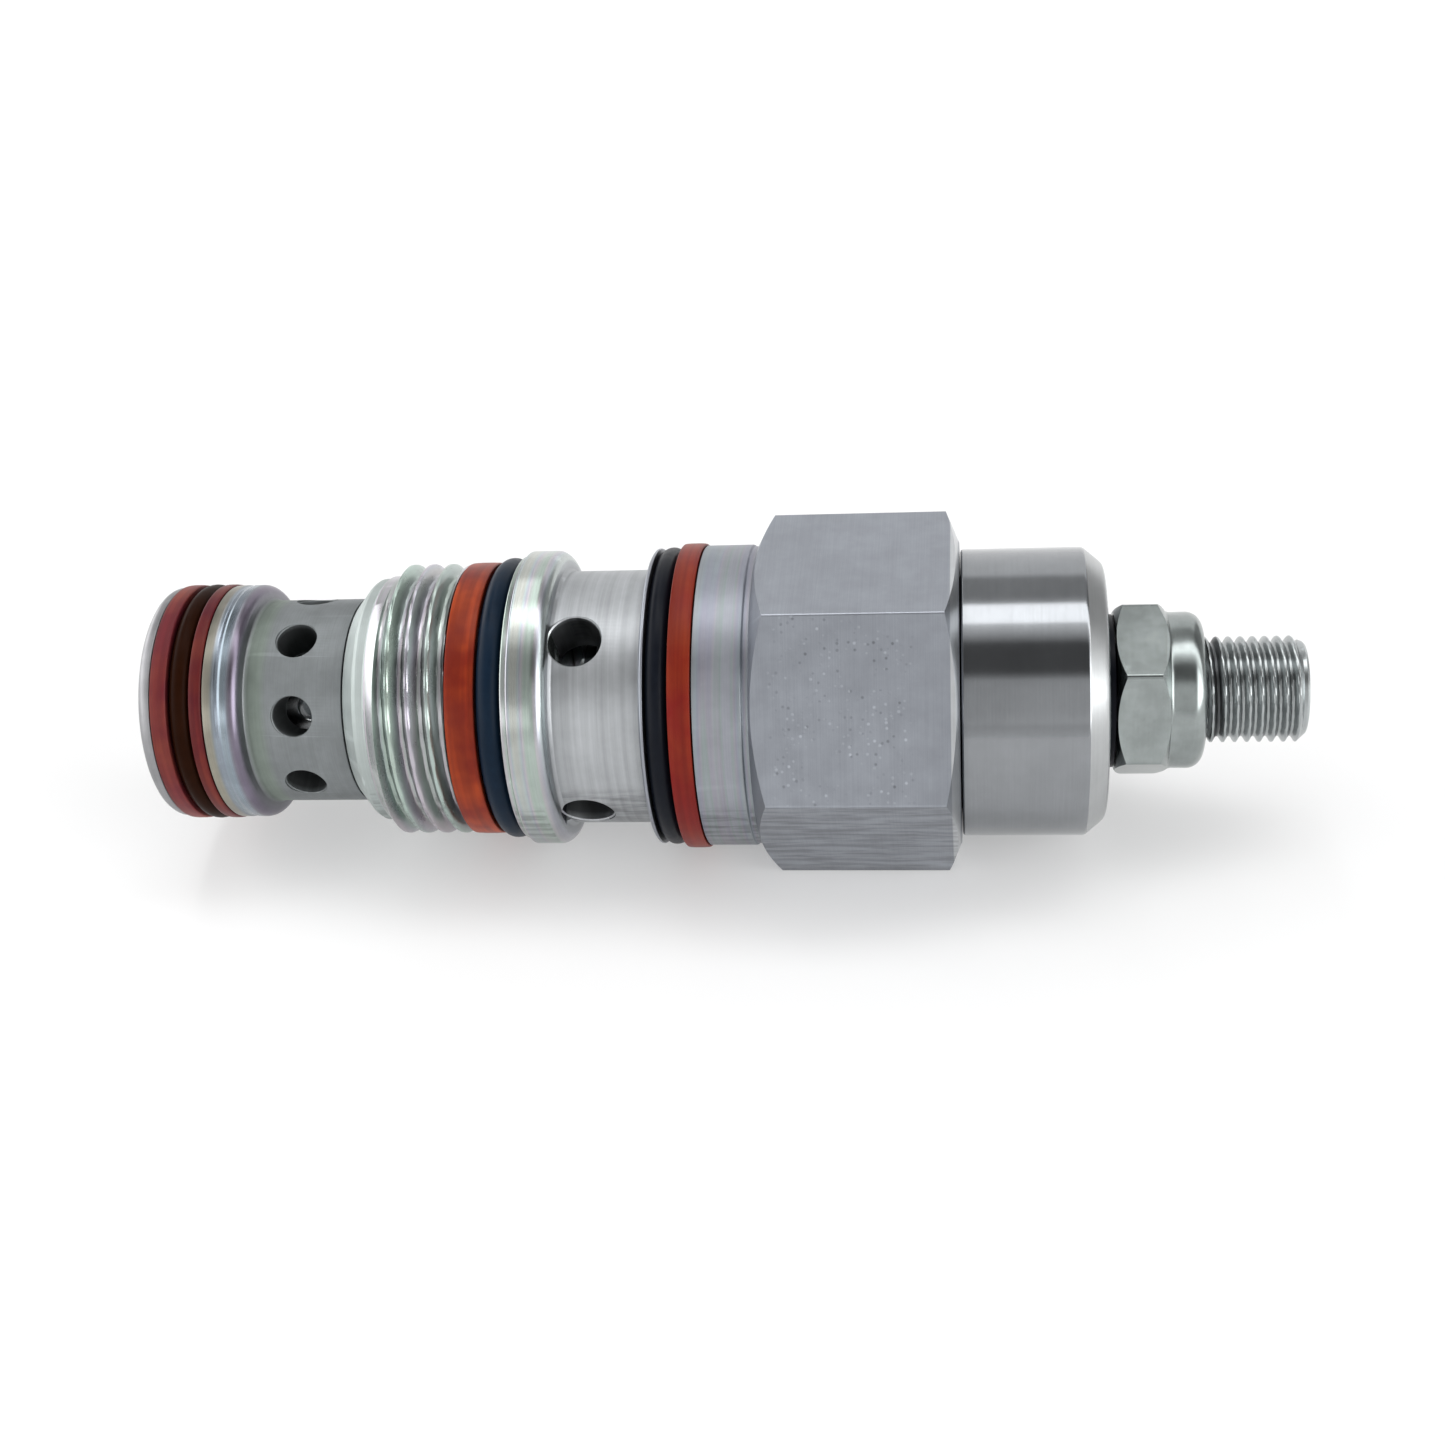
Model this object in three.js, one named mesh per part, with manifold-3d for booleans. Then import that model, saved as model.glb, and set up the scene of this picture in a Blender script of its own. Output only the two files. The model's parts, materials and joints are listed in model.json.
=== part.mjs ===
// A screw-in, adjustable, pilot-operated three-port cartridge valve, in millimetres.
// The valve axis lies along X: -X is the nose (port 1), +X is the adjusting screw.
// The origin is on the axis, halfway along the valve, and it lies on one wrench flat (+Z up).

import * as THREE from 'three';
import { mergeVertices } from 'three/addons/utils/BufferGeometryUtils.js';
import Module from 'manifold-3d';

const wasm = await Module();
wasm.setup();

// ---------------------------------------------------------------- driving dimensions

const ROUND = 28; // facets round the outer pieces
const INNER = 16; // facets round the pieces inside
const FIT = 0.1; // radial or axial gap between pieces that meet

const INCH = 25.4;
const LENGTH = 104.4;
const NOSE = -LENGTH / 2;
const TIP = LENGTH / 2;

// body
const BODY_HEX = 1.125 * INCH;
const BODY_END = -33.3;
const COLLAR_R = 11.35;
const THREAD = { start: -30.6, end: -23.4, major: 12.62, depth: 1.0, pitch: INCH / 14 };
const FLANGE = { groove: -18.0, lip: 13.2, face: -17.4, r: 13.63, end: -14.0 };
const WAIST_R = 11.7;
const LAND_R = 13.82;
const UPPER_GROOVE = { start: -5.3, end: -1.0, floor: 11.9 };
const HEX = { start: 3.9, end: 21.9, chamfer: 1.7 };
const DRAIN_HOLES = { x: -11.8, r: 2.4, count: 4, first: 61.15 };

// bores in the body, from the nose side
const SOCKET_R = 8.95; // sleeve socket
const SEAT_BORE = { start: -21.5, end: -15.0, r: 7.3 };
const CHAMBER_R = 6.4; // control spring chamber
const BUTTON_BORE = { start: 10.6, r: 7.8 };
const SPIGOT = { start: 14.0, r: 9.85, seal: 18.6, sealR: 10.5 };

// sleeve
const SLEEVE = { neck: 9.5, nose: 11.0, bore: 5.5, shank: 8.85, end: -21.8 };
const NOSE_GROOVE = { start: -50.9, end: -45.9, floor: 9.35 };
const CROSS_HOLES = { x: -38.1, r: 1.9, count: 8, first: 26.65 };
const WIRE_RING = { x: -28.9, r: 8.9, section: 0.5 };
const SLEEVE_SEAL = { x: -25.5, r: 8.2, section: 0.72 };
const STOP_RING = { start: -50.1, end: -49.1, bore: 4.6, r: 6.0 };

// spool and pilot
const SPOOL = { start: -49.0, end: -31.2, r: 5.45, bore: 3.0 };
const SEAT = { start: -21.4, end: -15.1, r: 7.2, hole: 1.5 };
const POPPET = { tip: -16.7, flange: -13.0, r: 3.6 };

// adjustment
const SCREW = { start: 17.7, head: 7.6, major: 4.74, depth: 0.5, pitch: INCH / 24 };
const SCREW_BORE = SCREW.major + 0.2;
const SOCKET_KEY = 4.0;
const CAP = { start: 22.0, end: 34.6, r: 13.0, shoulder: 27.6 };
const NUT = { washer: 34.7, start: 35.5, hexEnd: 40.1, end: 43.3, hex: 0.5625 * INCH, collar: 7.1 };
const NUT_TURN = 43.95; // degrees from -Y to a corner of the locknut

// ---------------------------------------------------------------- helpers

// One closed body: shared vertices joined and triangles of no area left out.
function closed(geometry) {
  const bare = geometry.clone();
  for (const name of Object.keys(bare.attributes)) {
    if (name !== 'position') bare.deleteAttribute(name);
  }
  const merged = mergeVertices(bare, 1e-4);
  const index = merged.index.array;
  const kept = [];
  for (let i = 0; i < index.length; i += 3) {
    const [a, b, c] = [index[i], index[i + 1], index[i + 2]];
    if (a !== b && b !== c && c !== a) kept.push(a, b, c);
  }
  merged.setIndex(kept);
  return merged;
}

function toSolid(geometry) {
  const bare = closed(geometry);
  return new wasm.Manifold(
    new wasm.Mesh({
      numProp: 3,
      vertProperties: new Float32Array(bare.attributes.position.array),
      triVerts: new Uint32Array(bare.index.array),
    }),
  );
}

function fromSolid(solid) {
  const mesh = solid.getMesh();
  const geometry = new THREE.BufferGeometry();
  geometry.setAttribute('position', new THREE.BufferAttribute(mesh.vertProperties, 3));
  geometry.setIndex(new THREE.BufferAttribute(mesh.triVerts, 1));
  return geometry;
}

function cut(geometry, tools) {
  return fromSolid(tools.reduce((left, tool) => left.subtract(toSolid(tool)), toSolid(geometry)));
}

function common(geometry, other) {
  return fromSolid(toSolid(geometry).intersect(toSolid(other)));
}

// An outline of [x, r] points, turned about the X axis.
function turned(outline, facets = ROUND) {
  let area = 0;
  outline.forEach(([x, r], i) => {
    const [nextX, nextR] = outline[(i + 1) % outline.length];
    area += x * nextR - nextX * r;
  });
  const ordered = area > 0 ? [...outline].reverse() : [...outline];
  const onAxis = ordered.some(([, r]) => r === 0);
  if (!onAxis) ordered.push(ordered[0]);
  const points = ordered.map(([x, r]) => new THREE.Vector2(r, x));
  return new THREE.LatheGeometry(points, facets).rotateZ(-Math.PI / 2);
}

// Points along a round stretch of an outline, angles in degrees from +X towards +R.
function arc(x, r, radius, from, to, steps = 4) {
  return Array.from({ length: steps + 1 }, (_, i) => {
    const angle = THREE.MathUtils.degToRad(from + ((to - from) * i) / steps);
    return [x + radius * Math.cos(angle), r + radius * Math.sin(angle)];
  });
}

// A flat ring with small chamfers on its outer edges.
function ring(start, end, inner, outer, facets = ROUND, chamfer = 0.15) {
  return turned([
    [start, inner], [start, outer - chamfer], [start + chamfer, outer],
    [end - chamfer, outer], [end, outer - chamfer], [end, inner],
  ], facets);
}

// A seal ring: its section is a circle, or an ellipse where a groove squeezes it.
function seal(x, r, halfWidth, halfHeight, facets = ROUND, steps = 6) {
  const outline = arc(0, 0, 1, 0, 360 - 360 / steps, steps - 1);
  return turned(outline.map(([a, b]) => [x + a * halfWidth, r + b * halfHeight]), facets);
}

// A six-sided bar along X, with a corner at `turn` degrees from -Y towards +Z.
function hexBar(acrossFlats, start, end, turn = 0) {
  const corner = acrossFlats / Math.sqrt(3);
  return new THREE.CylinderGeometry(corner, corner, end - start, 6)
    .rotateZ(-Math.PI / 2)
    .rotateX(THREE.MathUtils.degToRad(90 - turn))
    .translate((start + end) / 2, 0, 0);
}

// Drills that run outwards from the axis, spaced evenly round it.
function drills({ x, r, count, first }, reach) {
  return Array.from({ length: count }, (_, i) => {
    const turn = THREE.MathUtils.degToRad(first + (360 * i) / count);
    return new THREE.CylinderGeometry(r, r, reach, 10)
      .translate(0, -reach / 2, 0)
      .rotateX(-turn)
      .translate(x, 0, 0);
  });
}

// Rows of an outline that are close enough together to carry a thread.
function threadRows({ start, end, major, pitch }, rowsPerTurn) {
  const rows = Math.round(((end - start) / pitch) * rowsPerTurn);
  return Array.from({ length: rows + 1 }, (_, i) => [start + ((end - start) * i) / rows, major]);
}

// Presses a right-hand thread into a turned piece, fading out at both ends.
function thread(geometry, { start, end, major, depth, pitch }) {
  const position = geometry.attributes.position;
  for (let i = 0; i < position.count; i += 1) {
    const [x, y, z] = [position.getX(i), position.getY(i), position.getZ(i)];
    if (x < start - 1e-4 || x > end + 1e-4 || Math.abs(Math.hypot(y, z) - major) > 1e-3) continue;
    const turns = x / pitch - Math.atan2(z, y) / (2 * Math.PI);
    const wave = Math.abs(2 * (turns - Math.floor(turns)) - 1);
    const fade = Math.min(1, (x - start) / pitch + 0.2, (end - x) / pitch + 0.2);
    const scale = 1 - (depth * wave * fade) / major;
    position.setXYZ(i, x, y * scale, z * scale);
  }
  return geometry;
}

class Helix extends THREE.Curve {
  constructor(start, end, radius, turns) {
    super();
    Object.assign(this, { start, end, radius, turns });
  }

  getPoint(t, target = new THREE.Vector3()) {
    const angle = 2 * Math.PI * this.turns * t;
    const dead = 1 / this.turns; // the first and last turns lie almost flat
    const rise = THREE.MathUtils.clamp((t - dead * 0.8) / (1 - dead * 1.6), 0, 1);
    const x = this.start + (this.end - this.start) * (0.92 * rise + 0.08 * t);
    return target.set(x, this.radius * Math.cos(angle), this.radius * Math.sin(angle));
  }
}

// A compression spring: `radius` is that of the wire's centre line.
function spring({ start, end, radius, wire, turns }) {
  const section = new THREE.Shape();
  section.absarc(0, 0, wire / 2, 0, 2 * Math.PI);
  return new THREE.ExtrudeGeometry(section, {
    curveSegments: 3,
    steps: Math.round(turns * 10),
    extrudePath: new Helix(start + wire / 2, end - wire / 2, radius, turns),
  });
}

// ---------------------------------------------------------------- materials

const finish = (color, roughness, metalness) => ({ color, roughness, metalness });
const FINISHES = {
  zinc: finish(0x9498a0, 0.34, 1.0),
  greySteel: finish(0x7d7f82, 0.48, 1.0),
  turnedSteel: finish(0xa9a9a9, 0.18, 1.0),
  brightZinc: finish(0xa3aba6, 0.26, 1.0),
  innerSteel: finish(0x8f9092, 0.3, 1.0),
  springSteel: finish(0x6d6f72, 0.35, 1.0),
  brass: finish(0xb08d4a, 0.3, 1.0),
  rubber: finish(0x15171a, 0.5, 0.0),
  redPolymer: finish(0x8c2f24, 0.4, 0.0),
  orangePolymer: finish(0xa04a2a, 0.4, 0.0),
};

function piece(name, geometry, look) {
  const mesh = new THREE.Mesh(closed(geometry), new THREE.MeshStandardMaterial(FINISHES[look]));
  mesh.name = name;
  return mesh;
}

// ---------------------------------------------------------------- body and sleeve

function hexBody() {
  const tip = BODY_HEX / Math.sqrt(3);
  const outside = [
    [BODY_END, SOCKET_R], [BODY_END, 9.5], [BODY_END + 1.5, 11.25], [BODY_END + 1.7, COLLAR_R],
    [THREAD.start - 0.1, COLLAR_R],
    ...threadRows(THREAD, 4),
    [THREAD.end + 0.15, 11.0],
    [FLANGE.groove, 11.0], [FLANGE.groove, FLANGE.lip - 0.1], [FLANGE.groove + 0.1, FLANGE.lip],
    [FLANGE.face, FLANGE.lip], [FLANGE.face, FLANGE.r],
    [-15.2, FLANGE.r], ...arc(-15.2, FLANGE.r - 1.2, 1.2, 75, 10, 2),
    [FLANGE.end, WAIST_R],
    [-5.9, WAIST_R], [-5.7, 12.1], [-5.7, 13.5], [-5.5, 13.7], [UPPER_GROOVE.start, 13.7],
    [UPPER_GROOVE.start, UPPER_GROOVE.floor], [UPPER_GROOVE.end, UPPER_GROOVE.floor],
    [UPPER_GROOVE.end, LAND_R - 0.12], [UPPER_GROOVE.end + 0.12, LAND_R],
    [3.3, LAND_R], [3.4, 13.7], [HEX.start, 13.7],
    [HEX.start, 13.95], [HEX.start + HEX.chamfer, tip], [HEX.end - 1.5, tip], [HEX.end, 13.6],
  ];
  const inside = [
    [HEX.end, SPIGOT.sealR + FIT], [SPIGOT.seal, SPIGOT.sealR + FIT],
    [SPIGOT.seal, SPIGOT.r + FIT], [SPIGOT.start, SPIGOT.r + FIT],
    [SPIGOT.start, BUTTON_BORE.r], [BUTTON_BORE.start, BUTTON_BORE.r],
    [BUTTON_BORE.start, CHAMBER_R], [SEAT_BORE.end, CHAMBER_R], [SEAT_BORE.end, SEAT_BORE.r],
    [SEAT_BORE.start, SEAT_BORE.r], [SEAT_BORE.start, SOCKET_R],
    [WIRE_RING.x + 0.6, SOCKET_R], [WIRE_RING.x + 0.6, WIRE_RING.r + 0.65],
    [WIRE_RING.x - 0.6, WIRE_RING.r + 0.65], [WIRE_RING.x - 0.6, SOCKET_R],
  ];
  const blank = thread(turned([...outside, ...inside]), THREAD);
  const bar = hexBar(BODY_HEX, HEX.start - 0.01, HEX.end + 1);
  const slab = turned([[NOSE, 0], [NOSE, 20], [HEX.start - 0.01, 20], [HEX.start - 0.01, 0]], 6);
  const envelope = fromSolid(toSolid(bar).add(toSolid(slab)));
  return cut(common(blank, envelope), drills(DRAIN_HOLES, 16));
}

function portedSleeve() {
  const outline = [
    [NOSE, 6.3], [NOSE, 9.9], ...arc(-51.2, 9.9, 1.0, 170, 100, 2), [NOSE_GROOVE.start, 10.9],
    [NOSE_GROOVE.start, NOSE_GROOVE.floor], [NOSE_GROOVE.end, NOSE_GROOVE.floor],
    [NOSE_GROOVE.end, SLEEVE.nose - 0.1], [NOSE_GROOVE.end + 0.1, SLEEVE.nose],
    ...arc(-43.6, SLEEVE.nose - 1.0, 1.0, 90, 15, 2), [-42.3, SLEEVE.neck],
    [BODY_END - FIT, SLEEVE.neck], [BODY_END - FIT, SLEEVE.shank],
    [WIRE_RING.x - 0.6, SLEEVE.shank], [WIRE_RING.x - 0.6, WIRE_RING.r - 0.65],
    [WIRE_RING.x + 0.6, WIRE_RING.r - 0.65], [WIRE_RING.x + 0.6, SLEEVE.shank],
    [SLEEVE_SEAL.x - 0.9, SLEEVE.shank], [SLEEVE_SEAL.x - 0.9, SLEEVE_SEAL.r - 0.8],
    [SLEEVE_SEAL.x + 0.9, SLEEVE_SEAL.r - 0.8], [SLEEVE_SEAL.x + 0.9, SLEEVE.shank],
    [SLEEVE.end - 0.3, SLEEVE.shank], [SLEEVE.end, SLEEVE.shank - 0.3],
    [SLEEVE.end, SLEEVE.bore], [STOP_RING.end + FIT, SLEEVE.bore],
    [STOP_RING.end + FIT, STOP_RING.r + FIT], [STOP_RING.start - FIT, STOP_RING.r + FIT],
    [STOP_RING.start - FIT, SLEEVE.bore], [NOSE + 0.8, SLEEVE.bore],
  ];
  return cut(turned(outline), drills(CROSS_HOLES, 12));
}

function adjusterCap() {
  const grooveFloor = SPIGOT.sealR - 1.3;
  return turned([
    [SPIGOT.start + 0.3, BUTTON_BORE.r], [SPIGOT.start + 0.3, SPIGOT.r],
    [SPIGOT.seal + FIT, SPIGOT.r], [SPIGOT.seal + FIT, SPIGOT.sealR],
    [19.3, SPIGOT.sealR], [19.3, grooveFloor], [21.1, grooveFloor], [21.1, SPIGOT.sealR],
    [CAP.start, SPIGOT.sealR], [CAP.start, CAP.r - 0.3], [CAP.start + 0.3, CAP.r],
    [32.9, CAP.r], ...arc(CAP.end - 1.7, CAP.r - 1.6, 1.6, 75, 15, 2), [CAP.end, CAP.r - 2],
    [CAP.end, SCREW_BORE], [CAP.shoulder, SCREW_BORE], [CAP.shoulder, BUTTON_BORE.r],
  ]);
}

// ---------------------------------------------------------------- spool and pilot

function spool() {
  const waist = { start: -40.3, end: -35.7, r: 4.3 };
  const outline = [
    [SPOOL.start, SPOOL.bore], [SPOOL.start, SPOOL.r],
    [-44.6, SPOOL.r], [-44.6, 5.1], [-44.2, 5.1], [-44.2, SPOOL.r],
    [waist.start, SPOOL.r], [waist.start, waist.r], [waist.end, waist.r], [waist.end, SPOOL.r],
    [SPOOL.end, SPOOL.r], [SPOOL.end, 2.0], [-33.4, 2.0], [-33.4, 0.7], [-34.6, 0.7],
    [-34.6, SPOOL.bore],
  ];
  const ports = { x: -38.0, r: 1.2, count: 4, first: CROSS_HOLES.first };
  return cut(turned(outline), drills(ports, 8));
}

function spoolOrifice() {
  return turned([
    [-33.3, 0.35], [-33.3, 1.9], [-31.5, 1.9], [-31.5, 1.0], [-32.3, 1.0], [-32.3, 0.35],
  ], INNER);
}

function pilotSeat() {
  return turned([
    [SEAT.start, 3.4], [SEAT.start, SEAT.r], [-19.2, SEAT.r], [-19.2, 5.6], [-17.2, 5.6],
    [-17.2, SEAT.r], [SEAT.end, SEAT.r], [SEAT.end, SEAT.hole], [-17.4, SEAT.hole],
    [-17.4, 0.5], [-20.2, 0.5], [-20.2, 3.4],
  ], INNER);
}

function pilotPoppet() {
  const slope = (2.6 - 0.25) / (POPPET.flange - POPPET.tip);
  const atSeat = 0.25 + slope * (SEAT.end - POPPET.tip);
  return turned([
    [POPPET.tip, 0], [POPPET.tip, 0.25], [SEAT.end, atSeat], [POPPET.flange, 2.6],
    [POPPET.flange, POPPET.r], [-12.2, POPPET.r], [-12.2, 1.9], [-4.2, 1.9], [-3.9, 1.6],
    [-3.9, 0],
  ], INNER);
}

function springSeat() {
  return turned([
    [-12.1, 2.0], [-12.1, 5.6], [-11.1, 5.6], [-11.1, 3.3], [-9.9, 3.1], [-9.9, 2.0],
  ], INNER);
}

// ---------------------------------------------------------------- adjustment

function springButton() {
  return turned([
    [11.6, 0], [11.6, 2.9], [12.0, 3.2], [14.5, 3.2], [14.5, 7.3], [14.8, 7.6], [17.2, 7.6],
    [17.5, 7.3], [17.5, 0],
  ], INNER);
}

function adjustScrew() {
  const exposed = { ...SCREW, start: NUT.hexEnd - 0.5, end: TIP - 0.9 };
  const blank = thread(turned([
    [SCREW.start, 0], [SCREW.start, SCREW.head - 0.3], [SCREW.start + 0.3, SCREW.head],
    [19.3, SCREW.head], [19.3, 6.2], [21.3, 6.2], [21.3, SCREW.head], [22.8, SCREW.head],
    [22.8, 4.4], [24.8, 4.4], [24.8, 3.9], [26.0, 3.9], [26.0, 4.4], [26.8, 4.4], [27.2, SCREW.major],
    ...threadRows(exposed, 3), [TIP - 0.6, 4.5], [TIP, 4.0], [TIP, 0],
  ], INNER), exposed);
  const countersink = turned([
    [TIP - 0.5, 0], [TIP - 0.5, 2.1], [TIP + 0.5, 3.1], [TIP + 0.5, 0],
  ], INNER);
  const bottom = turned([[TIP - 6.2, 0], [TIP - 4.4, 1.9], [TIP - 4.4, 0]], INNER);
  return cut(blank, [hexBar(SOCKET_KEY, TIP - 5.0, TIP + 1, NUT_TURN), countersink, bottom]);
}

function locknut() {
  const corner = NUT.hex / Math.sqrt(3);
  const blank = turned([
    [NUT.start, SCREW_BORE + 0.5], [NUT.start, corner - 1.1], [NUT.start + 0.9, corner],
    [NUT.hexEnd - 0.9, corner], [NUT.hexEnd, NUT.collar],
    [41.9, NUT.collar - 0.1], ...arc(41.9, NUT.collar - 1.5, 1.4, 80, 10, 3),
    [NUT.end, SCREW_BORE + 0.6], [NUT.end - 0.5, SCREW_BORE], [NUT.start + 0.5, SCREW_BORE],
  ], INNER);
  const bar = hexBar(NUT.hex, NUT.start - 1, NUT.hexEnd, NUT_TURN);
  const rest = turned([[NUT.hexEnd, 0], [NUT.hexEnd, 12], [TIP, 12], [TIP, 0]], 6);
  return common(blank, fromSolid(toSolid(bar).add(toSolid(rest))));
}

// ---------------------------------------------------------------- assembly

const valve = new THREE.Group();

const body = new THREE.Group();
body.add(
  piece('hex_body', hexBody(), 'zinc'),
  piece('ported_sleeve', portedSleeve(), 'greySteel'),
  piece('sleeve_retaining_ring',
    seal(WIRE_RING.x, WIRE_RING.r, WIRE_RING.section, WIRE_RING.section), 'springSteel'),
  piece('sleeve_o_ring',
    seal(SLEEVE_SEAL.x, SLEEVE_SEAL.r, 0.8, SLEEVE_SEAL.section), 'rubber'),
  piece('adjuster_cap', adjusterCap(), 'turnedSteel'),
  piece('cap_o_ring', seal(20.2, SPIGOT.sealR - 0.6, 0.8, 0.64), 'rubber'),
);

const seals = new THREE.Group();
seals.add(
  piece('nose_backup_front', ring(-50.8, -49.3, 9.45, 11.1), 'redPolymer'),
  piece('nose_o_ring', seal(-48.2, 10.35, 0.95, 0.9), 'rubber'),
  piece('nose_backup_rear', ring(-47.15, -46.0, 9.45, 11.1), 'redPolymer'),
  piece('shoulder_backup_ring', ring(-23.1, -20.45, 11.1, 12.67), 'orangePolymer'),
  piece('shoulder_o_ring', seal(-19.2, 12.15, 1.1, 1.05), 'rubber'),
  piece('upper_o_ring', seal(-4.2, 12.9, 1.0, 0.95), 'rubber'),
  piece('upper_backup_ring', ring(-3.1, -1.1, 12.0, 14.05), 'redPolymer'),
);

const inside = new THREE.Group();
inside.add(
  piece('spool_stop_ring',
    ring(STOP_RING.start, STOP_RING.end, STOP_RING.bore, STOP_RING.r, INNER), 'springSteel'),
  piece('pilot_screen', turned([[-21.2, 0], [-21.2, 3.2], [-20.4, 3.2], [-20.4, 0]], INNER), 'brass'),
  piece('pilot_seat', pilotSeat(), 'innerSteel'),
  piece('seat_o_ring', seal(-18.2, 6.45, 0.85, 0.78, INNER), 'rubber'),
);

const metering = new THREE.Group();
metering.add(
  piece('spool', spool(), 'innerSteel'),
  piece('spool_orifice', spoolOrifice(), 'brass'),
  piece('main_spring',
    spring({ start: -31.1, end: -21.5, radius: 4.3, wire: 0.9, turns: 5 }), 'springSteel'),
);

const pilot = new THREE.Group();
pilot.add(
  piece('pilot_poppet', pilotPoppet(), 'innerSteel'),
  piece('poppet_spring_seat', springSeat(), 'innerSteel'),
  piece('control_spring',
    spring({ start: -11.0, end: 14.4, radius: 4.6, wire: 1.6, turns: 8 }), 'springSteel'),
);

const adjuster = new THREE.Group();
adjuster.add(
  piece('spring_button', springButton(), 'innerSteel'),
  piece('adjust_screw', adjustScrew(), 'brightZinc'),
  piece('screw_o_ring', seal(20.3, 7.0, 0.9, 0.74, INNER), 'rubber'),
  piece('screw_stop_ring', ring(24.9, 25.9, 4.0, 6.8, INNER), 'springSteel'),
  piece('locknut_washer', ring(NUT.washer, NUT.start - FIT, SCREW_BORE, 6.9, INNER), 'rubber'),
  piece('locknut', locknut(), 'brightZinc'),
);

valve.add(body, seals, inside, metering, pilot, adjuster);

export default valve;
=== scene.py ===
"""A screw-in cartridge valve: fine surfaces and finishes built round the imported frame.

Outlines are in millimetres: x along the valve's axis, r out from it.
Angles round the axis run from the front (-Y) over the top (+Z).
"""
import json
import math

import bpy
from mathutils import Matrix, Vector


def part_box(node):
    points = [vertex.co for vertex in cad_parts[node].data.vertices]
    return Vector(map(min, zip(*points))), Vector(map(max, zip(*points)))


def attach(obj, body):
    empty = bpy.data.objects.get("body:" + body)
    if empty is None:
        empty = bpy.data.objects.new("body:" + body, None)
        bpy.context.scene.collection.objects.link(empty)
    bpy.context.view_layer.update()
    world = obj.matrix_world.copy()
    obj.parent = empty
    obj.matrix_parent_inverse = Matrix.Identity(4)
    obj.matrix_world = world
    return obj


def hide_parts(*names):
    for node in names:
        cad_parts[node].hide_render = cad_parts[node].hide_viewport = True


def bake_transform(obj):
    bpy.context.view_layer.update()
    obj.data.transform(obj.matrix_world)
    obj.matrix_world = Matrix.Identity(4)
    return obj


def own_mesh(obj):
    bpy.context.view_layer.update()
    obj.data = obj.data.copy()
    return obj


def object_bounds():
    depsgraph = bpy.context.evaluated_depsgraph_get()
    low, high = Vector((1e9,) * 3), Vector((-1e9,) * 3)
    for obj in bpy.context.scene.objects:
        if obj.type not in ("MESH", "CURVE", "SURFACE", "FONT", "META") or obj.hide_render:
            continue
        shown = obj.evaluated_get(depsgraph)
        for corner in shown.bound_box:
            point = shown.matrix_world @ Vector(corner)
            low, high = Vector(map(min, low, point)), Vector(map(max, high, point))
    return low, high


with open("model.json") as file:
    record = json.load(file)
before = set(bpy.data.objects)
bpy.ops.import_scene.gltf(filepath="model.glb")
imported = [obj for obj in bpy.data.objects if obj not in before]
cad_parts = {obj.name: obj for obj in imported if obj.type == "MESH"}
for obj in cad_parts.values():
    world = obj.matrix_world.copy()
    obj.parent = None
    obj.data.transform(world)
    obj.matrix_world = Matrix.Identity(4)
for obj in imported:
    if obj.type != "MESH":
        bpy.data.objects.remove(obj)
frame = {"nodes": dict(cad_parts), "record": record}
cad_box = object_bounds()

MM = 0.001
INCH = 25.4
FACETS = 192


def span(node):
    """A node's first and last x and its outer radius, in millimetres."""
    low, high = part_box(node)
    return low[0] / MM, high[0] / MM, max(high[1], high[2]) / MM


def mount_x(name):
    """Where a mount of the record lies along the axis, in millimetres."""
    return next(m["pos_m"][0] for m in frame["record"]["mounts"] if m["name"] == name) / MM


# ---------------------------------------------------------------- driving dimensions

NOSE, SLEEVE_END, _ = span("ported_sleeve")
BODY_END, HEX_END, _ = span("hex_body")
CAP_START, CAP_END, _ = span("adjuster_cap")
SCREW_START, SCREW_END, SCREW_HEAD_R = span("adjust_screw")
NOSE_LAND = span("nose_backup_rear")[1] + 0.1
NECK_START = NOSE + 10.0
FLANGE = mount_x("locating_shoulder")
SHOULDER = FLANGE - 0.6
FLANGE_END = FLANGE + 3.4
HEX_FLATS = 1.125 * INCH
HEX_CORNER = HEX_FLATS / math.sqrt(3)
HEX_START = HEX_END - 18.0
NECK_R = 9.5
WAIST_R = 11.7
LAND_R = 13.82
SOCKET_R = 8.95
SPIGOT_BORE = 7.8
SEAL_FLOORS = {"nose": 9.35, "shoulder": 11.0, "upper": 11.9}
RING_GAP = 0.1
THREAD = {"start": BODY_END + 2.7, "major": 12.62, "depth": 1.0, "pitch": INCH / 14}
THREAD["end"] = span("shoulder_backup_ring")[0] - 0.15
SCREW_THREAD = {"start": SCREW_END - 20.4, "end": SCREW_END, "major": 4.74, "depth": 0.52}
SCREW_THREAD["pitch"] = INCH / 24
SCREW_BORE = SCREW_THREAD["major"] + 0.2
CROSS_HOLES = {"x": NOSE + 14.1, "r": 1.87, "count": 8, "first": 26.65}
DRAIN_HOLES = {"x": FLANGE + 5.6, "r": 2.4, "count": 4, "first": 61.15}
NUT_FLATS = 0.5625 * INCH
NUT_TURN = 43.95


# ---------------------------------------------------------------- meshes

def add_mesh(name, points, faces):
    """One new object with its points given in millimetres."""
    mesh = bpy.data.meshes.new(name)
    mesh.from_pydata([Vector(point) * MM for point in points], [], faces)
    obj = bpy.data.objects.new(name, mesh)
    bpy.context.collection.objects.link(obj)
    return obj


def around(r, turn):
    """The (y, z) of a point at radius r, `turn` radians from the front over the top."""
    return -r * math.cos(turn), r * math.sin(turn)


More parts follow.
